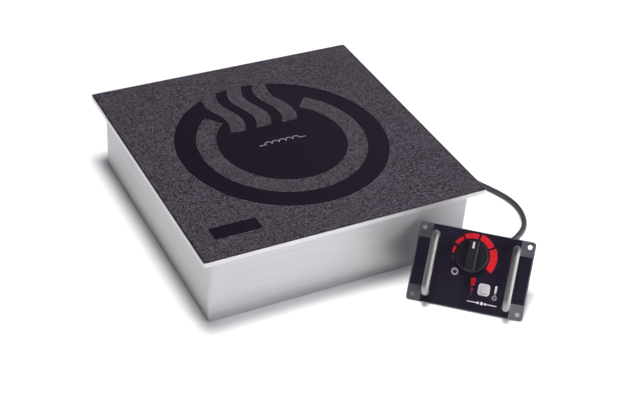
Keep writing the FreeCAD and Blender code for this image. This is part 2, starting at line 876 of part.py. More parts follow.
def in_place(shape):
    across = V(cos(yaw), sin(yaw), 0)
    backward = V(-sin(yaw), cos(yaw), 0)
    upward = backward * sin(tilt) + Z_AXIS * cos(tilt)
    outward = Z_AXIS * sin(tilt) - backward * cos(tilt)
    turn = FreeCAD.Rotation(across, upward, outward, "ZXY")
    placed = shape.copy()
    placed.Placement = FreeCAD.Placement(box_origin, turn).multiply(placed.Placement)
    return placed


def plate_block(x0, y0, z0, x1, y1, z1, radius):
    return rounded(box(x0, y0, z0, x1, y1, z1), radius)


def button_prism(width, z0, z1, radius):
    half = width / 2
    prism = box(button_x - half, button_y - half, z0, button_x + half, button_y + half, z1)
    return rounded(prism, radius)


def bar_leg_places():
    return [(x, y) for x in (bar_x, plate_w - bar_x) for y in (leg_low, leg_high)]


def boss_places():
    left = housing_x + boss_inset
    low = housing_y + boss_inset
    return [(x, y) for x in (left, left + housing_w - 2 * boss_inset)
            for y in (low, low + housing_h - 2 * boss_inset)]


def panel_plate():
    plate = plate_block(0, 0, -plate_t, plate_w, plate_h, 0, plate_corner_r)
    for x in (plate_hole_inset, plate_w - plate_hole_inset):
        for y in (plate_hole_inset, plate_h - plate_hole_inset):
            plate = plate.cut(rod(x, y, -plate_t, plate_hole_r, plate_t))
    plate = plate.cut(rod(knob_x, knob_y, -plate_t, bushing_r + hole_gap, plate_t))
    plate = plate.cut(button_prism(bezel_body_w + 2 * button_gap, -plate_t, 0, bezel_corner_r - bezel_wall))
    for x, y in bar_leg_places():
        plate = plate.cut(rod(x, y, -plate_t, m4_r + hole_gap, plate_t))
    for x, y in boss_places():
        bush = ring(x, y, -plate_t - bush_len, bush_r, m3_r, bush_len)
        plate = plate.fuse(bush)
    return in_place(plate)


def panel_overlay():
    block_x0 = (plate_w - overlay_block_w) / 2
    side_y0 = (plate_h - overlay_side_h) / 2
    film = box(block_x0, overlay_margin / 2, 0, plate_w - block_x0, plate_h - overlay_margin / 2, overlay_t)
    sides = box(overlay_margin, side_y0, 0, plate_w - overlay_margin, side_y0 + overlay_side_h, overlay_t)
    film = film.fuse(sides).removeSplitter()
    film = film.cut(rod(knob_x, knob_y, 0, encoder_nut_af / sqrt(3) + slip_gap, overlay_t))
    film = film.cut(button_prism(bezel_body_w + 2 * button_gap, 0, overlay_t, bezel_corner_r - bezel_wall))
    for x, y in bar_leg_places():
        film = film.cut(rod(x, y, 0, bar_r + slip_gap, overlay_t))
    return in_place(film)


def guard_bar(x):
    rise = bar_rise - bar_r
    run = leg_high - leg_low - 2 * bar_bend_r
    bar = rod(x, leg_low, 0, bar_r, rise - bar_bend_r)
    bar = bar.fuse(rod(x, leg_high, 0, bar_r, rise - bar_bend_r))
    bar = bar.fuse(Part.makeCylinder(bar_r, run, V(x, leg_low + bar_bend_r, rise), Y_AXIS))
    for y, side in ((leg_low + bar_bend_r, -1), (leg_high - bar_bend_r, 1)):
        centre = V(x, y, rise - bar_bend_r)
        section = Part.Face(Part.Wire(Part.makeCircle(bar_r, centre + V(0, side * bar_bend_r, 0), Z_AXIS)))
        bar = bar.fuse(section.revolve(centre, X_AXIS, side * 90))
    for y in (leg_low, leg_high):
        bar = bar.cut(rod(x, y, 0, m4_r, bar_bore_depth))
    return in_place(bar)


def guard_bar_left():
    return guard_bar(bar_x)


def guard_bar_right():
    return guard_bar(plate_w - bar_x)


def guard_bar_screws():
    shank = m4_r - thread_gap
    length = plate_t + bar_bore_depth - screw_end_gap
    screws = [screw(x, y, -plate_t, m4_head_r, m4_head_h, shank, length) for x, y in bar_leg_places()]
    return in_place(group(screws))


def housing_outline(inset, z0, z1):
    return plate_block(housing_x + inset, housing_y + inset, z0, housing_x + housing_w - inset,
                       housing_y + housing_h - inset, z1, housing_corner_r - inset)


def panel_gasket():
    top = -plate_t
    seal = housing_outline(0, top - gasket_t, top).cut(housing_outline(gasket_w, top - gasket_t, top))
    return in_place(seal)


def control_housing():
    rim = -plate_t - gasket_t
    shell = housing_outline(0, housing_back, rim)
    shell = shell.cut(housing_outline(housing_wall, housing_back + housing_wall, rim))
    boss_top = -plate_t - bush_len - running_gap
    for x, y in boss_places():
        shell = shell.fuse(rod(x, y, housing_back, boss_r, boss_top - housing_back))
    for x, y in boss_places():
        shell = shell.cut(rod(x, y, housing_back, m3_r + hole_gap, boss_top - housing_back))
    return in_place(shell.cut(rod(relief_x, relief_y, housing_back, relief_hole_r + hole_gap, housing_wall)))


def housing_screws():
    shank = m3_r - thread_gap
    length = -plate_t - face_gap - housing_back
    screws = [screw(x, y, housing_back, m3_head_r, m3_head_h, shank, length) for x, y in boss_places()]
    return in_place(group(screws))


def encoder_body():
    body = block(knob_x, knob_y, board_face, encoder_w, encoder_w, encoder_depth)
    body = body.fuse(rod(knob_x, knob_y, -plate_t, bushing_r, plate_t + bushing_len))
    bore_z = -shaft_depth - running_gap
    body = body.cut(rod(knob_x, knob_y, bore_z, shaft_r + running_gap, bushing_len - bore_z))
    return in_place(body)


def encoder_nut():
    nut = hexagon(knob_x, knob_y, 0, encoder_nut_af, encoder_nut_t)
    return in_place(nut.cut(rod(knob_x, knob_y, 0, bushing_r + thread_gap, encoder_nut_t)))


def knob_shaft():
    return in_place(rod(knob_x, knob_y, -shaft_depth, shaft_r, shaft_len + shaft_depth))


def control_knob():
    low = overlay_t + knob_lift
    grip_z = low + skirt_h
    knob = rod(knob_x, knob_y, low, knob_r, skirt_h)
    rim = [e for e in knob.Edges if e.Curve.TypeId == "Part::GeomCircle" and e.CenterOfMass.z > low + below]
    knob = knob.makeFillet(grip_top_round, rim)
    grip = block(knob_x, knob_y, grip_z - below, grip_w, 2 * knob_r, grip_h + below)
    grip = grip.common(rod(knob_x, knob_y, grip_z - below, knob_r - grip_top_round, grip_h + below))
    crown = [e for e in grip.Edges if e.CenterOfMass.z > grip_z + grip_h - running_gap]
    knob = knob.fuse(grip.makeFillet(grip_top_round, crown))
    knob = knob.cut(rod(knob_x, knob_y, low, knob_hollow_r, knob_hollow_h))
    knob = knob.cut(rod(knob_x, knob_y, low, knob_neck_r, bushing_len + slip_gap - low))
    knob = knob.cut(rod(knob_x, knob_y, low, shaft_r, shaft_len - low))
    return in_place(knob.cut(pointer_bar(grip_z + grip_h)))


def pointer_bar(face_z):
    y = knob_y + knob_r - grip_top_round - pointer_inset - pointer_len / 2
    return block(knob_x, y, face_z - pointer_sink, pointer_w, pointer_len, pointer_t)


def knob_pointer():
    return in_place(pointer_bar(overlay_t + knob_lift + skirt_h + grip_h))


def button_bezel():
    lip = button_prism(bezel_w, overlay_t, overlay_t + bezel_lip_t, bezel_corner_r)
    body = button_prism(bezel_body_w, -bezel_depth, overlay_t, bezel_corner_r - bezel_wall - button_gap)
    window_w = bezel_body_w - 2 * bezel_wall
    window = button_prism(window_w, -bezel_depth, overlay_t + bezel_lip_t, bezel_window_r)
    return in_place(lip.fuse(body).cut(window))


def mode_button():
    top = overlay_t + button_proud
    cap = button_prism(cap_w_button, button_flange_top - button_flange_t, top, button_corner_r)
    crown = [e for e in cap.Edges if e.CenterOfMass.z > top - running_gap]
    cap = cap.makeFillet(button_round, crown)
    foot = button_prism(bezel_body_w, button_flange_top - button_flange_t, button_flange_top, bezel_window_r)
    return in_place(cap.fuse(foot))


def button_switch():
    plunger_top = button_flange_top - button_flange_t - button_travel - switch_over_gap
    body_top = plunger_top - switch_plunger_h
    body = block(button_x, button_y, board_face, switch_w, switch_w, body_top - board_face)
    return in_place(body.fuse(rod(button_x, button_y, body_top, switch_plunger_r, switch_plunger_h)))


def switch_board():
    centre_y = housing_y + housing_h / 2
    board = block(plate_w / 2, centre_y, board_face - board_t, control_board_w, control_board_h, board_t)
    return in_place(board)


def strain_relief():
    lip_z = housing_back + housing_wall + running_gap
    relief = rod(relief_x, relief_y, housing_back, relief_hole_r, housing_wall + running_gap)
    relief = relief.fuse(rod(relief_x, relief_y, lip_z, relief_lip_r, relief_lip_t))
    outer_z = housing_back - relief_flange_t
    relief = relief.fuse(rod(relief_x, relief_y, outer_z, relief_flange_r, relief_flange_t))
    tip = V(relief_x, relief_y, outer_z - relief_len)
    taper = Part.makeCone(box_relief_tip_r, box_relief_root_r, relief_len, tip, Z_AXIS)
    return in_place(relief.fuse(taper))


# ---- the control cable: straight runs joined by tangent arcs ----

def cable_path(points):
    edges = []
    last = points[0]
    for before, corner, after in zip(points, points[1:], points[2:]):
        inward = (before - corner).normalize()
        onward = (after - corner).normalize()
        turn = pi - inward.getAngle(onward)
        shorter = min((before - corner).Length, (after - corner).Length)
        trim = arc_share * shorter
        radius = trim / tan(turn / 2)
        start = corner + inward * trim
        end = corner + onward * trim
        bisector = (inward + onward).normalize()
        middle = corner + bisector * (radius / cos(turn / 2) - radius)
        print("cable turn %5.1f deg, radius %6.1f" % (degrees(turn), radius))
        edges.append(Part.LineSegment(last, start).toShape())
        edges.append(Part.Arc(start, middle, end).toShape())
        last = end
    edges.append(Part.LineSegment(last, points[-1]).toShape())
    return Part.Wire(edges)


def control_cable():
    path = cable_path(cable_route)
    direction = (cable_route[1] - cable_route[0]).normalize()
    section = Part.Wire(Part.makeCircle(cable_r, cable_route[0], direction))
    tube = path.makePipeShell([section], True, False)
    ideal = pi * cable_r ** 2 * path.Length
    print("cable length %.1f, volume against section x length %.5f" % (path.Length, tube.Volume / ideal))
    return tube


SUBPARTS = [
    glass_top, glass_seal, top_frame, frame_nuts, casing_walls, base_plate, base_screws,
    insulation_blanket, mica_sheet, coil_winding, coil_carrier, ferrite_bars, coil_plate,
    coil_standoffs, coil_plate_screws, coil_leads, sensor_holder, temperature_sensor, sensor_spring,
    power_board, board_spacers, heatsink, igbt_modules, bridge_rectifier, film_capacitors,
    dc_link_capacitor, choke_coil, filter_board, common_mode_choke, terminal_block,
    fan_frame, fan_rotor, fan_screws, air_duct,
    display_bracket, display_board, display_module,
    mains_gland_body, mains_gland_cap, gland_nuts, control_gland,
    panel_plate, panel_overlay, guard_bar_left, guard_bar_right, guard_bar_screws,
    panel_gasket, control_housing, housing_screws,
    encoder_body, encoder_nut, knob_shaft, control_knob, knob_pointer,
    button_bezel, mode_button, button_switch, switch_board,
    strain_relief, control_cable,
]

os.makedirs("parts", exist_ok=True)
for make in SUBPARTS:
    shape = make()
    if not shape.isValid():
        print("not valid:", make.__name__)
    shape.exportStep("parts/%s.step" % make.__name__)
print(len(SUBPARTS), "nodes written")
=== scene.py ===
import json
import math

import bpy
from mathutils import Matrix, Vector


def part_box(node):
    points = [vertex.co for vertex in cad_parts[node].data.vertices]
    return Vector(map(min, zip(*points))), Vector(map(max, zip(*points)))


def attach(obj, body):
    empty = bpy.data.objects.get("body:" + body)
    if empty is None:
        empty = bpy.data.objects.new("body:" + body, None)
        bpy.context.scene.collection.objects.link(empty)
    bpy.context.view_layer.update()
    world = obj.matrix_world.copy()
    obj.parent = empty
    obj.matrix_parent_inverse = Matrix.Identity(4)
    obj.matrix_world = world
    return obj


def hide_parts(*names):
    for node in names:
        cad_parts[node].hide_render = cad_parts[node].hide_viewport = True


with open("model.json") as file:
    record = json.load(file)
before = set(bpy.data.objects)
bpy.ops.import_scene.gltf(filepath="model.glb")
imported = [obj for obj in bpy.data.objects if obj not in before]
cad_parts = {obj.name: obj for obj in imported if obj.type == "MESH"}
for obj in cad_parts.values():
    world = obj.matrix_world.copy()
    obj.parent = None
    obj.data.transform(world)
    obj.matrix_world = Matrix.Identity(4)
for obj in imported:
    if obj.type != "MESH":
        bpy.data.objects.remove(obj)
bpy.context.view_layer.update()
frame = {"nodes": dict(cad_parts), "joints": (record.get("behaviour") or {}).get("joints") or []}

MM = 0.001                  # the prints are drawn in millimetres, everything else is in metres
NODES = frame["nodes"]
JOINTS = {joint["name"]: joint for joint in frame["joints"]}
UNIT = "unit"

# ---------------------------------------------------------------- camera

CAMERA_AZIMUTH = math.radians(-30.077)
CAMERA_ELEVATION = math.radians(36.644)
CAMERA_ROLL = math.radians(4.916)
CAMERA_AT = Vector((-0.60878, -1.15437, 0.98457))
CAMERA_LENS = 72.868        # millimetres, on a sensor of the next line's width
CAMERA_SENSOR = 36.0
CAMERA_NEAR = 0.05


def make_camera():
    level = math.cos(CAMERA_ELEVATION)
    back = Vector((math.sin(CAMERA_AZIMUTH) * level, -math.cos(CAMERA_AZIMUTH) * level,
                   math.sin(CAMERA_ELEVATION)))
    right = (-back).cross(Vector((0, 0, 1))).normalized()
    up = right.cross(-back)
    rolled_right = math.cos(CAMERA_ROLL) * right + math.sin(CAMERA_ROLL) * up
    rolled_up = -math.sin(CAMERA_ROLL) * right + math.cos(CAMERA_ROLL) * up
    turn = Matrix((rolled_right, rolled_up, back)).transposed().to_4x4()
    data = bpy.data.cameras.new("camera")
    data.lens = CAMERA_LENS
    data.sensor_width = CAMERA_SENSOR
    data.clip_start = CAMERA_NEAR
    camera = bpy.data.objects.new("camera", data)
    camera.matrix_world = Matrix.Translation(CAMERA_AT) @ turn
    bpy.context.scene.collection.objects.link(camera)
    bpy.context.scene.camera = camera


# ---------------------------------------------------------------- node helpers

NOISE_BAND = (0.3, 0.7)     # most values of a noise texture lie in here


def map_range(tree, value, band, results):
    """A node that takes value from the band (low, high) to the results (low, high)."""
    ramp = tree.nodes.new("ShaderNodeMapRange")
    ramp.inputs["From Min"].default_value, ramp.inputs["From Max"].default_value = band
    ramp.inputs["To Min"].default_value, ramp.inputs["To Max"].default_value = results
    tree.links.new(value, ramp.inputs["Value"])
    return ramp.outputs["Result"]


class Shader:
    """A node material under construction; its methods keep the material functions short."""

    def __init__(self, name, rough, metal=0.0, colour=None):
        self.material = bpy.data.materials.new(name)
        self.material.use_nodes = True
        self.tree = self.material.node_tree
        self.bsdf = self.tree.nodes["Principled BSDF"]
        self.bsdf.inputs["Roughness"].default_value = rough
        self.bsdf.inputs["Metallic"].default_value = metal
        if colour:
            self.bsdf.inputs["Base Color"].default_value = (*colour, 1.0)
        self.where = self.tree.nodes.new("ShaderNodeTexCoord").outputs["Object"]

    def node(self, kind, **settings):
        made = self.tree.nodes.new(kind)
        for key, value in settings.items():
            setattr(made, key, value)
        return made

    def link(self, output, target):
        self.tree.links.new(output, target)

    def noise(self, scale, detail, stretch=(1, 1, 1), rough=0.5):
        mapping = self.node("ShaderNodeMapping")
        mapping.inputs["Scale"].default_value = stretch
        self.link(self.where, mapping.inputs["Vector"])
        noise = self.node("ShaderNodeTexNoise")
        noise.inputs["Scale"].default_value = scale
        noise.inputs["Detail"].default_value = detail
        noise.inputs["Roughness"].default_value = rough
        self.link(mapping.outputs["Vector"], noise.inputs["Vector"])
        return noise.outputs["Fac"]

    def two_tone(self, value, first, second, band=NOISE_BAND):
        """Base colour that goes from first to second as value crosses the band."""
        mix = self.node("ShaderNodeMix", data_type="RGBA")
        factor, first_tone, second_tone = mix.inputs[0], mix.inputs[6], mix.inputs[7]
        first_tone.default_value = (*first, 1.0)
        second_tone.default_value = (*second, 1.0)
        self.link(map_range(self.tree, value, band, (0, 1)), factor)
        self.link(mix.outputs[2], self.bsdf.inputs["Base Color"])

    def rough_between(self, value, smooth, dull, band=NOISE_BAND):
        """Roughness that goes from smooth to dull as value crosses the band."""
        self.link(map_range(self.tree, value, band, (smooth, dull)), self.bsdf.inputs["Roughness"])

    def bump(self, height, strength, distance):
        bump = self.node("ShaderNodeBump")
        bump.inputs["Strength"].default_value = strength
        bump.inputs["Distance"].default_value = distance
        self.link(height, bump.inputs["Height"])
        self.link(bump.outputs["Normal"], self.bsdf.inputs["Normal"])


def srgb(*levels):
    """Linear colour from 0 to 255 screen levels."""
    return tuple((v / 255 / 12.92) if v <= 10 else ((v / 255 + 0.055) / 1.055) ** 2.4 for v in levels)


def scaled(colour, factor):
    return tuple(min(1.0, c * factor) for c in colour)


# ---------------------------------------------------------------- materials

def brushed_metal(name, base, rough, grain):
    """Metal with fine lines; grain holds the noise stretch along X, Y and Z, small along the lines."""
    spread = 0.10
    shader = Shader(name, rough, 1.0)
    lines = shader.noise(scale=1.0, detail=4.0, stretch=grain, rough=0.6)
    clouds = shader.noise(scale=9.0, detail=3.0)
    shader.two_tone(lines, scaled(base, 1 - spread), scaled(base, 1 + spread))
    shader.rough_between(clouds, smooth=rough - 0.05, dull=rough + 0.06)
    shader.bump(lines, strength=0.25, distance=0.00002)
    return shader.material


def moulded_plastic(name, base, rough, grain=900.0, depth=0.00003):
    """Plastic with a fine moulded grain and faint clouds a little lighter than its base colour."""
    shader = Shader(name, rough)
    texture = shader.noise(scale=grain, detail=2.0)
    clouds = shader.noise(scale=30.0, detail=3.0)
    lighter = tuple(min(1.0, c * 1.25 + 0.002) for c in base)
    shader.two_tone(clouds, base, lighter, band=(0.35, 0.65))
    shader.rough_between(texture, smooth=rough - 0.06, dull=rough + 0.06)
    shader.bump(texture, strength=0.3, distance=depth)
    return shader.material


def hob_glass():
    """Near-black glass-ceramic, glossy, with a faint haze."""
    shader = Shader("hob_glass", rough=0.09)
    shader.bsdf.inputs["IOR"].default_value = 1.5
    haze = shader.noise(scale=14.0, detail=4.0)
    shader.two_tone(haze, (0.0025, 0.0014, 0.0042), (0.0042, 0.0022, 0.007))
    shader.rough_between(haze, smooth=0.06, dull=0.12)
    return shader.material


ENAMEL_CELLS = 980.0        # cells of the speckle per metre
ENAMEL_RAMP = [             # place on the ramp and its colour: the glass, then the dots
    (0.3, (0.007, 0.0055, 0.008, 1)),
    (0.85, (0.100, 0.085, 0.105, 1)),
]


def speckled_enamel():
    """Grey enamel dots fired onto the glass; the dark glass shows between them."""
    shader = Shader("speckled_enamel", 0.42)
    cells = shader.node("ShaderNodeTexVoronoi")
    cells.inputs["Scale"].default_value = ENAMEL_CELLS
    shader.link(shader.where, cells.inputs["Vector"])
    split = shader.node("ShaderNodeSeparateColor")
    shader.link(cells.outputs["Color"], split.inputs["Color"])
    level = split.outputs["Red"]
    ramp = shader.node("ShaderNodeValToRGB")
    for element, (position, colour) in zip(ramp.color_ramp.elements, ENAMEL_RAMP):
        element.position = position
        element.color = colour
    shader.link(level, ramp.inputs["Fac"])
    shader.link(ramp.outputs["Color"], shader.bsdf.inputs["Base Color"])
    shader.rough_between(level, smooth=0.32, dull=0.5, band=(0, 1))
    shader.bump(level, strength=0.3, distance=0.00004)
    return shader.material


def print_ink(name, base, rough=0.5):
    """Screen-printed ink, slightly mottled."""
    shader = Shader(name, rough)
    shader.bsdf.inputs["Specular IOR Level"].default_value = 0.3
    mottle = shader.noise(scale=700.0, detail=3.0)
    shader.two_tone(mottle, scaled(base, 0.82), base)
    shader.bump(mottle, strength=0.15, distance=0.00002)
    return shader.material


def printed_film():
    """Satin polyester film over the control plate."""
    shader = Shader("printed_film", 0.28)
    texture = shader.noise(scale=1400.0, detail=2.0)
    clouds = shader.noise(scale=22.0, detail=3.0)
    shader.two_tone(clouds, (0.0105, 0.0080, 0.0160), (0.0140, 0.0108, 0.0210))
    shader.rough_between(clouds, smooth=0.25, dull=0.33)
    shader.bump(texture, strength=0.35, distance=0.00003)
    return shader.material


def cable_rubber():
    shader = Shader("cable_rubber", 0.5)
    scuffs = shader.noise(scale=160.0, detail=5.0, rough=0.7)
    shader.two_tone(scuffs, (0.030, 0.028, 0.034), (0.065, 0.06, 0.068), band=(0.35, 0.75))
    shader.rough_between(scuffs, smooth=0.42, dull=0.6)
    shader.bump(scuffs, strength=0.3, distance=0.00005)
    return shader.material


def circuit_board():
    shader = Shader("circuit_board", 0.35)
    tracks = shader.noise(scale=260.0, detail=1.0)
    shader.two_tone(tracks, (0.01, 0.07, 0.03), (0.02, 0.13, 0.055), band=(0.48, 0.52))
    shader.bump(tracks, strength=0.2, distance=0.00003)
    return shader.material


def wound_copper():
    shader = Shader("wound_copper", 0.35, 1.0)
    strands = shader.noise(scale=1500.0, detail=2.0)
    shader.two_tone(strands, (0.35, 0.13, 0.05), (0.72, 0.33, 0.16))
    shader.bump(strands, strength=0.5, distance=0.0002)
    return shader.material


def fibre_felt():
    shader = Shader("fibre_felt", 0.95)
    fibres = shader.noise(scale=420.0, detail=6.0, rough=0.75)
    shader.two_tone(fibres, (0.55, 0.53, 0.48), (0.8, 0.78, 0.73))
    shader.bump(fibres, strength=0.7, distance=0.0003)
    return shader.material


def make_materials():
    return {
        "hob_glass": hob_glass(),
        "enamel": speckled_enamel(),
        "front_steel": brushed_metal("brushed_steel", (0.50, 0.50, 0.51), 0.46, (6, 6, 1100)),
        "frame_steel": brushed_metal("frame_steel", (0.60, 0.60, 0.60), 0.42, (60, 60, 900)),
        "plate_steel": brushed_metal("plate_steel", (0.48, 0.48, 0.525), 0.38, (30, 30, 700)),
        "zinc": brushed_metal("zinc_steel", (0.58, 0.58, 0.56), 0.38, (300, 300, 300)),
        "aluminium": brushed_metal("aluminium", (0.66, 0.67, 0.68), 0.34, (500, 40, 500)),
        "bar_aluminium": brushed_metal("bar_aluminium", (0.38, 0.38, 0.38), 0.55, (900, 900, 60)),
        "spring": brushed_metal("spring_steel", (0.6, 0.6, 0.6), 0.2, (200, 200, 200)),
        "film": printed_film(),
        "knob": moulded_plastic("knob_plastic", (0.0085, 0.0078, 0.0120), 0.42, 1200.0),
        "housing": moulded_plastic("housing_plastic", (0.02, 0.02, 0.022), 0.5, 700.0, 0.00006),
        "nylon": moulded_plastic("nylon", (0.022, 0.022, 0.024), 0.5),
        "carrier": moulded_plastic("carrier_plastic", (0.05, 0.05, 0.052), 0.55),
        "package": moulded_plastic("package_black", (0.02, 0.02, 0.02), 0.55),
        "display": moulded_plastic("display_face", (0.008, 0.008, 0.01), 0.15),
        "white": moulded_plastic("button_white", srgb(186, 177, 185), 0.4),
        "grey": moulded_plastic("button_grey", srgb(168, 171, 170), 0.42),
        "film_box": moulded_plastic("capacitor_box", (0.45, 0.30, 0.05), 0.4),
        "terminal": moulded_plastic("terminal_plastic", (0.6, 0.6, 0.55), 0.5),
        "mica": moulded_plastic("mica", (0.45, 0.38, 0.24), 0.4),
        "silicone": moulded_plastic("silicone", (0.018, 0.018, 0.018), 0.6),
        "ferrite": moulded_plastic("ferrite", (0.03, 0.03, 0.032), 0.6),
        "lacquer": moulded_plastic("choke_lacquer", (0.12, 0.05, 0.02), 0.4),
        "cable": cable_rubber(),
        "board": circuit_board(),
        "copper": wound_copper(),
        "felt": fibre_felt(),
        "ink_white": print_ink("ink_white", srgb(214, 208, 214)),
        "ink_mark": print_ink("ink_mark", srgb(126, 118, 128)),
        "ink_ring": print_ink("ink_ring", srgb(150, 138, 148)),
        "ink_red": print_ink("ink_red", srgb(206, 34, 44), 0.42),
        "ink_red_dim": print_ink("ink_red_dim", srgb(130, 40, 66), 0.45),
        "ink_red_faint": print_ink("ink_red_faint", srgb(78, 44, 62), 0.45),
    }


CAD_FINISHES = {
    "hob_glass": ["glass_top"],
    "silicone": ["glass_seal", "panel_gasket"],
    "frame_steel": ["top_frame"],
    "front_steel": ["casing_walls", "base_plate"],
    "plate_steel": ["panel_plate"],
    "zinc": ["frame_nuts", "base_screws", "coil_standoffs", "coil_plate_screws", "board_spacers",
             "fan_screws", "display_bracket", "guard_bar_screws", "housing_screws", "encoder_nut"],
    "aluminium": ["coil_plate", "heatsink", "temperature_sensor", "knob_shaft"],
    "bar_aluminium": ["guard_bar_left", "guard_bar_right"],
    "spring": ["sensor_spring"],
    "film": ["panel_overlay"],
    "knob": ["control_knob"],
    "housing": ["control_housing"],
    "nylon": ["fan_frame", "fan_rotor", "air_duct", "mains_gland_body", "mains_gland_cap",
              "gland_nuts", "control_gland", "strain_relief"],
    "carrier": ["coil_carrier", "sensor_holder"],
    "package": ["igbt_modules", "bridge_rectifier", "encoder_body", "button_switch"],
    "display": ["display_module"],
    "white": ["button_bezel", "knob_pointer"],
    "grey": ["mode_button"],
    "film_box": ["film_capacitors", "dc_link_capacitor"],
    "terminal": ["terminal_block"],
    "mica": ["mica_sheet"],
    "ferrite": ["ferrite_bars"],
    "lacquer": ["choke_coil", "common_mode_choke"],
    "board": ["power_board", "filter_board", "display_board", "switch_board"],
    "copper": ["coil_winding", "coil_leads"],
    "felt": ["insulation_blanket"],
}


def dress_cad_nodes(materials):
    for finish, names in CAD_FINISHES.items():
        for name in names:
            mesh = NODES[name].data
            mesh.materials.clear()
            mesh.materials.append(materials[finish])


SOFT_EDGES = {              # node and the width of its rolled edges
    "top_frame": 0.0005,
    "casing_walls": 0.0006,
    "glass_top": 0.0004,
    "panel_plate": 0.0003,
    "control_housing": 0.0005,
}
SHARPEST_SMOOTH = math.radians(40)      # edges that turn by less than this keep their shape


def soften_edges():
    """Small rolled edges that catch the light; the CAD meshes themselves stay as they are."""
    for name, width in SOFT_EDGES.items():
        edge = NODES[name].modifiers.new("soft_edge", "BEVEL")
        edge.width = width
        edge.segments = 2
        edge.limit_method = "ANGLE"
        edge.angle_limit = SHARPEST_SMOOTH


# ---------------------------------------------------------------- flat printed shapes

def arc_points(radius, start, end, steps, centre=(0.0, 0.0)):
    """Points on an arc. Angles in degrees from 12 o'clock, clockwise."""
    points = []
    for k in range(steps + 1):
        angle = math.radians(start + (end - start) * k / steps)
        points.append((centre[0] + radius * math.sin(angle), centre[1] + radius * math.cos(angle)))
    return points


def circle(radius, centre, steps):
    return arc_points(radius, 0, 360 - 360 / steps, steps - 1, centre)


def rectangle(x0, y0, x1, y1, corner=0.0, steps=5):
    if corner <= 0:
        return [(x0, y0), (x1, y0), (x1, y1), (x0, y1)]
    points = []
    for cx, cy, start in ((x1 - corner, y1 - corner, 0), (x1 - corner, y0 + corner, 90),
                          (x0 + corner, y0 + corner, 180), (x0 + corner, y1 - corner, 270)):
        points += arc_points(corner, start, start + 90, steps, (cx, cy))
    return points


def ring_sector(inner, outer, start, end, steps):
    return arc_points(outer, start, end, steps) + arc_points(inner, end, start, steps)


def flat_piece(name, outlines, place, thickness, material):
    """A thin raised print from closed outlines in millimetres; an outline inside another is a hole."""
    curve = bpy.data.curves.new(name, "CURVE")
    curve.dimensions = "2D"
    curve.fill_mode = "BOTH"
    curve.extrude = thickness / 2
    for outline in outlines:
        spline = curve.splines.new("POLY")
        spline.points.add(len(outline) - 1)
        for point, (x, y) in zip(spline.points, outline):
            point.co = (x * MM, y * MM, 0, 1)
        spline.use_cyclic_u = True
    temporary = bpy.data.objects.new(name + "_curve", curve)
    mesh = bpy.data.meshes.new_from_object(temporary)
    bpy.data.objects.remove(temporary)
    mesh.transform(place @ Matrix.Translation((0, 0, thickness / 2)))
    mesh.materials.clear()
    mesh.materials.append(material)
    mesh.name = name
    piece = bpy.data.objects.new(name, mesh)
    bpy.context.scene.collection.objects.link(piece)
    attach(piece, UNIT)


# ---------------------------------------------------------------- glass print

RING_OUTER = 130.9
RING_INNER = 104.6
DISC = 80.0
RING_GAP = 41.0             # degrees each side of the back, where the heat waves rise
RING_STEPS = 150            # points on each long arc
WINDOW_AT = (-123.5, -136.3)
WINDOW_SIZE = (57.5, 20.5)
WINDOW_CORNER = 0.6
FIELD_CORNER = 1.4
PRINT_MARGIN = 0.35         # bare glass round the print
PRINT_T = 0.08 * MM
WAVE_CENTRES = (-42.0, -7.0, 28.0)
WAVE_WIDTH = 20.0
WAVE_FOOT = 37.0
WAVE_SWING = 6.2
WAVE_PERIOD = 92.0
WAVE_STEPS = 28             # straight stretches along one side of a wave
WAVE_GAP_STEPS = 6          # and along the circle between two waves


def wave_edge(x, side):
    """One side of a heat wave, from its foot up to the cooking zone's outer circle."""

    def across(y):
        swing = WAVE_SWING * math.sin(2 * math.pi * (y - WAVE_FOOT) / WAVE_PERIOD)
        return x + side * WAVE_WIDTH / 2 + swing

    top = RING_OUTER
    for _ in range(12):     # each round brings the top nearer to the circle; 12 settle it
        top = math.sqrt(RING_OUTER ** 2 - across(top) ** 2)
    heights = [WAVE_FOOT + (top - WAVE_FOOT) * k / WAVE_STEPS for k in range(WAVE_STEPS + 1)]
    return [(across(y), y) for y in heights]


def clock_angle(point):
    return math.degrees(math.atan2(point[0], point[1]))


def cooking_zone():
    """The dark cooking zone: a circle with the heat waves cut into it from the back."""
    waves = [(wave_edge(x, -1), wave_edge(x, 1)) for x in WAVE_CENTRES]
    from_last = clock_angle(waves[-1][1][-1])
    to_first = 360 + clock_angle(waves[0][0][-1])
    outline = arc_points(RING_OUTER, from_last, to_first, RING_STEPS)
    for k, (left, right) in enumerate(waves):
        if k:
            before = clock_angle(waves[k - 1][1][-1])
            outline += arc_points(RING_OUTER, before, clock_angle(left[-1]), WAVE_GAP_STEPS)[1:]
        is_last = k == len(waves) - 1
        outline += left[-2::-1] + right[:-1 if is_last else len(right)]
    return outline


COIL_HUMPS = 5
COIL_RADIUS = 4.6           # of a hump's centreline
COIL_HALF_LINE = 0.8
COIL_LEAD = 8.0
COIL_Y = -1.0
COIL_STEPS = 14             # straight stretches along a hump


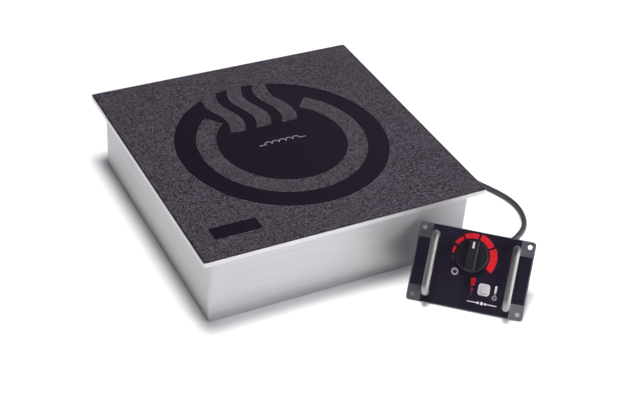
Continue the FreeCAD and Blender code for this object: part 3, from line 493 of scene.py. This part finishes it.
def coil_symbol():
    """The plain circuit sign for a coil: round humps between two straight leads."""
    outer = COIL_RADIUS + COIL_HALF_LINE
    inner = COIL_RADIUS - COIL_HALF_LINE
    half_span = COIL_HUMPS * COIL_RADIUS
    end = half_span + COIL_LEAD
    at_hump = math.degrees(math.acos(COIL_RADIUS / outer))
    at_lead = math.degrees(math.asin(COIL_HALF_LINE / outer))
    upper = [(-end, COIL_HALF_LINE)]
    lower = [(-end, -COIL_HALF_LINE)]
    for k in range(COIL_HUMPS):
        x = (2 * k + 1) * COIL_RADIUS - half_span
        first = -90 + (at_hump if k else at_lead)
        last = 90 - (at_hump if k < COIL_HUMPS - 1 else at_lead)
        upper += arc_points(outer, first, last, COIL_STEPS, (x, 0.0))
        lower.append((x - inner, -COIL_HALF_LINE))
        lower += arc_points(inner, -90, 90, COIL_STEPS, (x, 0.0))
        lower.append((x + inner, -COIL_HALF_LINE))
    upper.append((end, COIL_HALF_LINE))
    lower.append((end, -COIL_HALF_LINE))
    return [(x, y + COIL_Y) for x, y in upper + lower[::-1]]


def print_glass(materials):
    _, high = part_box("glass_top")
    half = high.x / MM - PRINT_MARGIN
    top = Matrix.Translation((0, 0, high.z))
    wx, wy = WINDOW_AT
    ww, wh = WINDOW_SIZE
    window = rectangle(wx - ww / 2, wy - wh / 2, wx + ww / 2, wy + wh / 2, corner=WINDOW_CORNER, steps=3)
    sector = ring_sector(DISC, RING_INNER, RING_GAP, 360 - RING_GAP, RING_STEPS)
    field = [rectangle(-half, -half, half, half, corner=FIELD_CORNER), cooking_zone(), sector, window]
    flat_piece("glass_print", field, top, PRINT_T, materials["enamel"])
    flat_piece("coil_symbol_print", [coil_symbol()], top, PRINT_T, materials["ink_mark"])


# ---------------------------------------------------------------- control panel print

def panel_matrix():
    """The plate's own axes, from the knob's joint: x along its lower edge, y up it, z out of it."""
    joint = JOINTS["knob_turn"]
    outward = Vector(joint["axis"]).normalized()
    across = Vector((0, 0, 1)).cross(outward).normalized()
    upward = outward.cross(across)
    turn = Matrix((across, upward, outward)).transposed().to_4x4()
    return Matrix.Translation(Vector(joint["pos_m"])) @ turn


# The panel's marks are placed in millimetres from the knob's centre, x to the right and y up.
FILM_T = 0.3 * MM
INK_T = 0.06 * MM
SCALE_INNER = 20.7
SCALE_SEGMENTS = [          # start and end in degrees clockwise from the top, outer radius, ink
    (-110, -98, 22.9, "ink_red_faint"),
    (-90, -69, 23.6, "ink_red"),
    (-61, -35, 25.2, "ink_red"),
    (-29, 9, 26.6, "ink_red"),
    (15, 56, 28.0, "ink_red"),
    (61.5, 122, 29.2, "ink_red"),
]
POWER_SIGN_AT = (-16.1, -20.9)
POWER_SIGN_RADII = (4.3, 2.3)
POWER_STROKE = (-15.6, -20.4, -14.8, -18.6)
LEVEL_WEDGES = [            # top: height, left and right; foot: height, left and right; ink
    (-24.2, 3.6, 9.9, -33.3, 4.9, 8.9, "ink_red"),
    (-35.6, 5.2, 8.7, -39.6, 5.6, 8.2, "ink_red_dim"),
    (-41.0, 5.7, 8.1, -45.0, 6.1, 7.7, "ink_red_faint"),
]
THERMOMETER_STEM = (33.0, -37.4, 35.4, -28.2)
THERMOMETER_NECK = (33.5, -40.6, 34.9, -37.8)
THERMOMETER_BULB_AT = (34.2, -42.6)
THERMOMETER_BULB_RADII = (2.9, 1.4)
LEVEL_LINE_Y = -51.6
LEVEL_LINE_HALF = 0.5
LEVEL_LINES = {"left": (3.8, 15.2), "right": (26.4, 38.6)}
LEVEL_DOTS = ((16.6, 1.45), (21.0, 1.9), (25.2, 1.45))      # place along the line, radius


def print_panel(materials):
    film = panel_matrix() @ Matrix.Translation((0, 0, FILM_T))

    def ink(name, outlines, colour):
        flat_piece(name, outlines, film, INK_T, materials[colour])

    def ring(name, radii, centre, steps):
        ink(name, [circle(radius, centre, steps) for radius in radii], "ink_ring")

    for k, (start, end, outer, colour) in enumerate(SCALE_SEGMENTS, 1):
        ink("power_scale_%d" % k, [ring_sector(SCALE_INNER, outer, start, end, steps=24)], colour)
    ring("power_sign_ring", POWER_SIGN_RADII, POWER_SIGN_AT, steps=40)
    ink("power_sign_stroke", [rectangle(*POWER_STROKE, corner=0.3)], "ink_ring")
    for k, (top, top_left, top_right, foot, foot_left, foot_right, colour) in enumerate(LEVEL_WEDGES, 1):
        wedge = [(top_left, top), (top_right, top), (foot_right, foot), (foot_left, foot)]
        ink("level_wedge_%d" % k, [wedge], colour)
    ink("thermometer_stem", [rectangle(*THERMOMETER_STEM, corner=1.2)], "ink_white")
    ink("thermometer_neck", [rectangle(*THERMOMETER_NECK)], "ink_ring")
    ring("thermometer_bulb", THERMOMETER_BULB_RADII, THERMOMETER_BULB_AT, steps=32)
    for side, (start, end) in LEVEL_LINES.items():
        line = rectangle(start, LEVEL_LINE_Y - LEVEL_LINE_HALF, end, LEVEL_LINE_Y + LEVEL_LINE_HALF,
                         corner=LEVEL_LINE_HALF)
        ink("level_line_" + side, [line], "ink_white")
    for k, (x, radius) in enumerate(LEVEL_DOTS, 1):
        ink("level_dot_%d" % k, [circle(radius, (x, LEVEL_LINE_Y), steps=24)], "ink_white")


# ---------------------------------------------------------------- control cable

CABLE_RADIUS = 0.00325
CABLE_ROUTE = [
    (-0.110, 0.191, 0.016),
    (-0.110, 0.213, 0.016),
    (-0.106, 0.236, 0.0095),
    (-0.088, 0.2525, 0.0034),
    (-0.056, 0.260, 0.0033),
    (-0.002, 0.252, 0.0033),
    (0.058, 0.257, 0.0033),
    (0.116, 0.250, 0.0033),
    (0.166, 0.236, 0.0033),
    (0.202, 0.203, 0.0033),
    (0.213, 0.150, 0.0033),
    (0.208, 0.092, 0.0033),
    (0.215, 0.036, 0.0033),
    (0.238, -0.012, 0.0033),
    (0.263, -0.0575, 0.0033),
    (0.286, -0.109, 0.0033),
    (0.275, -0.152, 0.0033),
    (0.249, -0.173, 0.0033),
    (0.213, -0.184, 0.0033),
]
LEAD_ENTRY = (31.9, -3.9, -40.5)        # end of the strain relief in the panel's own axes, in mm
LEAD_DROP = 26.6                        # from there straight back towards the floor, in mm


def make_cable(materials):
    curve = bpy.data.curves.new("control_lead", "CURVE")
    curve.dimensions = "3D"
    panel = panel_matrix()
    entry = Vector(LEAD_ENTRY)
    drop = Vector((0, 0, LEAD_DROP))
    route = CABLE_ROUTE + [panel @ ((entry - drop) * MM), panel @ (entry * MM)]
    spline = curve.splines.new("NURBS")
    spline.points.add(len(route) - 1)
    for point, place in zip(spline.points, route):
        point.co = (*place, 1)
    spline.order_u = 3
    spline.use_endpoint_u = True
    spline.resolution_u = 12
    curve.bevel_depth = CABLE_RADIUS
    curve.bevel_resolution = 6
    curve.use_fill_caps = True
    curve.materials.append(materials["cable"])
    lead = bpy.data.objects.new("control_lead", curve)
    bpy.context.scene.collection.objects.link(lead)
    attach(lead, UNIT)
    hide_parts("control_cable")


# ---------------------------------------------------------------- stage and light

FLOOR_HALF = 40.0
FLOOR_WHITE = (0.92, 0.92, 0.92)
FLOOR_PAINTED_GLOW_BAND = (0.55, 1.6)   # painted light: the floor glows from the first distance on, fully from the second
# strength of the painted light the far floor gives off
FLOOR_PAINTED_GLOW = 0.5


def make_floor():
    corners = [(-FLOOR_HALF, -FLOOR_HALF, 0), (FLOOR_HALF, -FLOOR_HALF, 0),
               (FLOOR_HALF, FLOOR_HALF, 0), (-FLOOR_HALF, FLOOR_HALF, 0)]
    mesh = bpy.data.meshes.new("floor")
    mesh.from_pydata(corners, [], [(0, 1, 2, 3)])
    shader = Shader("floor_white_painted_glow", 0.9, 0.0, FLOOR_WHITE)
    shader.bsdf.inputs["Specular IOR Level"].default_value = 0.0
    shader.bsdf.inputs["Emission Color"].default_value = (1, 1, 1, 1)
    # painted light: the floor emits light of its own, none near the unit and more further out, so the
    # far floor turns white while the shade near the unit stays
    distance = shader.node("ShaderNodeVectorMath", operation="LENGTH")
    shader.link(shader.where, distance.inputs[0])
    painted_glow = map_range(shader.tree, distance.outputs["Value"], FLOOR_PAINTED_GLOW_BAND, (0.0, FLOOR_PAINTED_GLOW))
    shader.link(painted_glow, shader.bsdf.inputs["Emission Strength"])
    mesh.materials.append(shader.material)
    floor = bpy.data.objects.new("floor", mesh)
    bpy.context.scene.collection.objects.link(floor)


LIGHTS = [                  # name, place, aim, size and watts
    ("key", (-0.22, 0.04, 3.8), (-0.05, -0.05, 0), (1.0, 1.0), 150.0),
    ("front_fill", (0.0, -2.5, 0.7), (0, 0, 0), (1.2, 0.9), 14.0),
    ("left_fill", (-2.4, -0.8, 0.8), (0, 0, 0), (1.2, 0.9), 3.5),
    ("right_fill", (1.3, -1.3, 0.6), (0.12, -0.2, 0.04), (1.3, 0.9), 19.0),
]
WORLD_COLOUR = (1.0, 0.85, 1.1, 1)
WORLD_BAND = (0.15, 0.65)       # the world gets brighter as the X of a direction crosses this
WORLD_STRENGTH = (0.06, 0.30)


def soft_light(name, place, aim, size, watts):
    data = bpy.data.lights.new(name, "AREA")
    data.shape = "RECTANGLE"
    data.size, data.size_y = size
    data.energy = watts
    light = bpy.data.objects.new(name, data)
    light.location = place
    light.rotation_mode = "QUATERNION"
    light.rotation_quaternion = (Vector(aim) - Vector(place)).to_track_quat("-Z", "Y")
    bpy.context.scene.collection.objects.link(light)
    light.visible_glossy = name != "key"    # the key would turn the glass white from above


def make_world():
    """A dim studio, a little brighter towards +X, which the glass and the dark film mirror."""
    world = bpy.data.worlds.new("studio")
    world.use_nodes = True
    tree = world.node_tree
    direction = tree.nodes.new("ShaderNodeTexCoord").outputs["Generated"]
    parts = tree.nodes.new("ShaderNodeSeparateXYZ")
    tree.links.new(direction, parts.inputs["Vector"])
    strength = map_range(tree, parts.outputs["X"], WORLD_BAND, WORLD_STRENGTH)
    background = tree.nodes["Background"]
    background.inputs["Color"].default_value = WORLD_COLOUR
    tree.links.new(strength, background.inputs["Strength"])
    bpy.context.scene.world = world


def make_light():
    make_world()
    for light in LIGHTS:
        soft_light(*light)
    bpy.context.scene.view_settings.view_transform = "Standard"


make_camera()
finishes = make_materials()
make_cable(finishes)
dress_cad_nodes(finishes)
soften_edges()
print_glass(finishes)
print_panel(finishes)
make_floor()
make_light()
